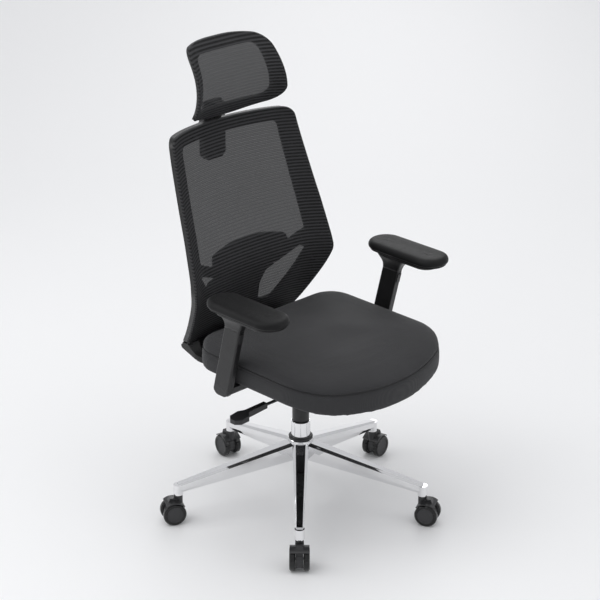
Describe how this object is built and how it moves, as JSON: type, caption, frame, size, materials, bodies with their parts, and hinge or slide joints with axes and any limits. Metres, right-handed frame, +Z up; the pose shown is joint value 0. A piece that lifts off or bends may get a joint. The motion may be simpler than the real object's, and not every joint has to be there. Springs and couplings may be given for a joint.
{
  "type": "swivel office chair",
  "caption": "Swivel office chair with a ribbed mesh back and headrest, a padded seat, adjustable arm rests and a polished star base on casters.",
  "frame": {"origin": "on the floor, on the swivel axis of the gas lift", "axes": "+Z up along the gas lift, -Y the way the sitter faces, +X the sitter's left"},
  "size_m": [0.7181, 0.7189, 1.203],
  "materials": {
    "polished_aluminium": "polished",
    "black_plastic": "fine grain",
    "wheel_nylon": "satin",
    "hood_plastic": "glossy",
    "black_steel": "black powder coat",
    "chrome_steel": "mirror chrome",
    "bright_steel": "machined",
    "arm_plastic": "satin",
    "pad_polyurethane": "soft matt skin",
    "seat_fabric": "fine weave",
    "mesh_fabric": "open ribbed mesh"
  },
  "bodies": {
    "base": {"star_base": "polished_aluminium", "caster_sockets": "black_plastic", "hub_ring": "black_plastic", "gas_lift_tube": "chrome_steel", "guide_bush": "black_plastic"},
    "caster_1": {"caster_1_hood": "hood_plastic", "caster_1_pins": "bright_steel"},
    "wheels_1": {"caster_1_wheels": "wheel_nylon"},
    "caster_2": {"caster_2_hood": "hood_plastic", "caster_2_pins": "bright_steel"},
    "wheels_2": {"caster_2_wheels": "wheel_nylon"},
    "caster_3": {"caster_3_hood": "hood_plastic", "caster_3_pins": "bright_steel"},
    "wheels_3": {"caster_3_wheels": "wheel_nylon"},
    "caster_4": {"caster_4_hood": "hood_plastic", "caster_4_pins": "bright_steel"},
    "wheels_4": {"caster_4_wheels": "wheel_nylon"},
    "caster_5": {"caster_5_hood": "hood_plastic", "caster_5_pins": "bright_steel"},
    "wheels_5": {"caster_5_wheels": "wheel_nylon"},
    "piston": {"piston_rod": "bright_steel", "thrust_bearing": "bright_steel"},
    "chassis": {"gas_lift_cylinder": "bright_steel", "mechanism_housing": "black_steel", "pivot_shafts": "bright_steel", "recline_spring": "bright_steel"},
    "valve": {"valve_button": "black_plastic"},
    "knob": {"tension_knob": "black_plastic"},
    "lever": {"lever_rod": "black_steel", "lever_paddle": "black_plastic"},
    "seat": {"seat_plate": "black_steel", "seat_shell": "black_plastic", "seat_cushion": "seat_fabric", "seat_bolts": "bright_steel", "arm_bracket_left": "black_steel", "arm_bracket_right": "black_steel", "arm_post_left": "bright_steel", "arm_post_right": "bright_steel", "arm_bolts": "bright_steel"},
    "arm_left": {"arm_sleeve_left": "arm_plastic", "arm_pad_base_left": "black_plastic"},
    "button_left": {"arm_button_left": "black_plastic"},
    "pad_left": {"arm_pad_left": "pad_polyurethane"},
    "arm_right": {"arm_sleeve_right": "arm_plastic", "arm_pad_base_right": "black_plastic"},
    "button_right": {"arm_button_right": "black_plastic"},
    "pad_right": {"arm_pad_right": "pad_polyurethane"},
    "back": {"back_bar": "black_plastic", "back_frame": "black_plastic", "back_mesh": "mesh_fabric", "back_bolts": "bright_steel", "headrest_bracket": "black_plastic"},
    "lumbar": {"lumbar_pad": "black_plastic", "lumbar_slider": "black_plastic"},
    "headrest_stem": {"headrest_post": "black_plastic", "headrest_pin": "bright_steel"},
    "headrest": {"headrest_frame": "black_plastic", "headrest_mesh": "mesh_fabric"}
  },
  "joints": [
    {"name": "caster_1_swivel", "type": "hinge", "parent": "base", "child": "caster_1", "pos_m": [-0.23335, -0.23335, 0.08], "axis": [0, 0, 1], "continuous": true},
    {"name": "caster_1_roll", "type": "hinge", "parent": "caster_1", "child": "wheels_1", "pos_m": [-0.24395, -0.24395, 0.03], "axis": [0.7071, -0.7071, 0], "continuous": true},
    {"name": "caster_2_swivel", "type": "hinge", "parent": "base", "child": "caster_2", "pos_m": [0.14982, -0.29403, 0.08], "axis": [0, 0, 1], "continuous": true},
    {"name": "caster_2_roll", "type": "hinge", "parent": "caster_2", "child": "wheels_2", "pos_m": [0.15663, -0.3074, 0.03], "axis": [0.891, 0.454, 0], "continuous": true},
    {"name": "caster_3_swivel", "type": "hinge", "parent": "base", "child": "caster_3", "pos_m": [0.32594, 0.05162, 0.08], "axis": [0, 0, 1], "continuous": true},
    {"name": "caster_3_roll", "type": "hinge", "parent": "caster_3", "child": "wheels_3", "pos_m": [0.34075, 0.05397, 0.03], "axis": [-0.1564, 0.9877, 0], "continuous": true},
    {"name": "caster_4_swivel", "type": "hinge", "parent": "base", "child": "caster_4", "pos_m": [0.05162, 0.32594, 0.08], "axis": [0, 0, 1], "continuous": true},
    {"name": "caster_4_roll", "type": "hinge", "parent": "caster_4", "child": "wheels_4", "pos_m": [0.05397, 0.34075, 0.03], "axis": [-0.9877, 0.1564, 0], "continuous": true},
    {"name": "caster_5_swivel", "type": "hinge", "parent": "base", "child": "caster_5", "pos_m": [-0.29403, 0.14982, 0.08], "axis": [0, 0, 1], "continuous": true},
    {"name": "caster_5_roll", "type": "hinge", "parent": "caster_5", "child": "wheels_5", "pos_m": [-0.3074, 0.15663, 0.03], "axis": [-0.454, -0.891, 0], "continuous": true},
    {"name": "seat_swivel", "type": "hinge", "parent": "base", "child": "piston", "pos_m": [0, 0, 0.14], "axis": [0, 0, 1], "continuous": true},
    {"name": "height_slide", "type": "slide", "parent": "piston", "child": "chassis", "axis": [0, 0, 1], "range_m": [0, 0.06]},
    {"name": "valve_press", "type": "slide", "parent": "chassis", "child": "valve", "axis": [0, 0, -1], "range_m": [0, 0.003], "stiffness_N_per_m": 500},
    {"name": "lever_lift", "type": "hinge", "parent": "chassis", "child": "lever", "pos_m": [-0.042, -0.05, 0.36], "axis": [0, 1, 0], "range_deg": [0, 4], "stiffness_Nm_per_rad": 4, "springref_deg": -5.73},
    {"name": "tension_turn", "type": "hinge", "parent": "chassis", "child": "knob", "pos_m": [0, -0.052, 0.31], "axis": [0, 0, 1], "continuous": true},
    {"name": "back_recline", "type": "hinge", "parent": "chassis", "child": "back", "pos_m": [0, 0.042, 0.36], "axis": [-1, 0, 0], "range_deg": [0, 20], "stiffness_Nm_per_rad": 60, "springref_deg": -28.65},
    {"name": "seat_tilt", "type": "hinge", "parent": "chassis", "child": "seat", "pos_m": [0, -0.086, 0.404], "axis": [-1, 0, 0], "range_deg": [0, 8.05]},
    {"name": "lumbar_slide", "type": "slide", "parent": "back", "child": "lumbar", "axis": [0, 0.2419, 0.9703], "range_m": [0, 0.02]},
    {"name": "headrest_height", "type": "slide", "parent": "back", "child": "headrest_stem", "axis": [0, 0, 1], "range_m": [0, 0.05]},
    {"name": "headrest_tilt", "type": "hinge", "parent": "headrest_stem", "child": "headrest", "pos_m": [0, 0.322, 1.024], "axis": [-1, 0, 0], "range_deg": [-10, 25]},
    {"name": "arm_height_left", "type": "slide", "parent": "seat", "child": "arm_left", "axis": [0, -0.2436, 0.9699], "range_m": [0, 0.08]},
    {"name": "arm_button_press_left", "type": "slide", "parent": "arm_left", "child": "button_left", "axis": [0, 0.9699, 0.2436], "range_m": [0, 0.002], "stiffness_N_per_m": 800},
    {"name": "pad_slide_left", "type": "slide", "parent": "arm_left", "child": "pad_left", "axis": [0, -1, 0], "range_m": [-0.03, 0.03]},
    {"name": "arm_height_right", "type": "slide", "parent": "seat", "child": "arm_right", "axis": [0, -0.2436, 0.9699], "range_m": [0, 0.08]},
    {"name": "arm_button_press_right", "type": "slide", "parent": "arm_right", "child": "button_right", "axis": [0, 0.9699, 0.2436], "range_m": [0, 0.002], "stiffness_N_per_m": 800},
    {"name": "pad_slide_right", "type": "slide", "parent": "arm_right", "child": "pad_right", "axis": [0, -1, 0], "range_m": [-0.03, 0.03]}
  ],
  "couplings": [
    {"joint": "valve_press", "follows": "lever_lift", "m_per_rad": 0.042},
    {"joint": "seat_tilt", "follows": "back_recline", "ratio": 0.4}
  ]
}
